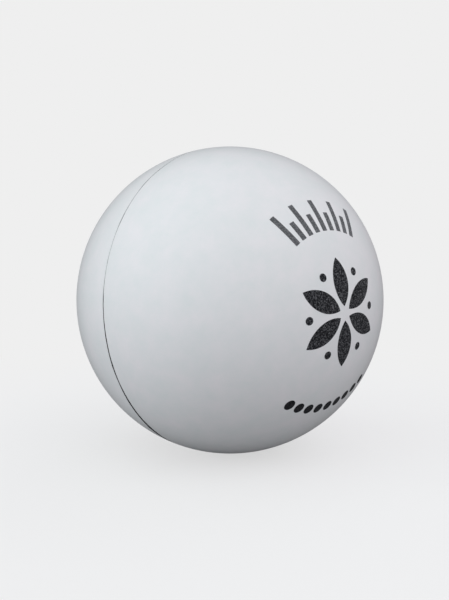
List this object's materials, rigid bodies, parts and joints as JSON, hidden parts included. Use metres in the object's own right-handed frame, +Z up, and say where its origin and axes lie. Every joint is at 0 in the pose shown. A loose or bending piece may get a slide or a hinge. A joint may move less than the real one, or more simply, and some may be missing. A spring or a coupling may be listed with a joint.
{
  "type": "squash ball",
  "caption": "Hollow white rubber squash ball of two cemented half shells with a fine dark seam and plain printed marks on one pole.",
  "frame": {"origin": "centre of the ball", "axes": "+Z up; the seam lies in the XZ plane, and Y runs through both poles, with the printed half facing -Y"},
  "size_m": [0.04, 0.04, 0.04],
  "materials": {
    "white_rubber": "matt, buffed",
    "rubber_cement": "matt",
    "grey_ink": "matt, pad printed",
    "black_ink": "matt, pad printed"
  },
  "bodies": {
    "root": {"printed_half_shell": "white_rubber", "plain_half_shell": "white_rubber", "seam_cement": "rubber_cement", "upper_print_bars": "grey_ink", "centre_print_rosette": "black_ink", "lower_print_dots": "black_ink"}
  },
  "joints": []
}
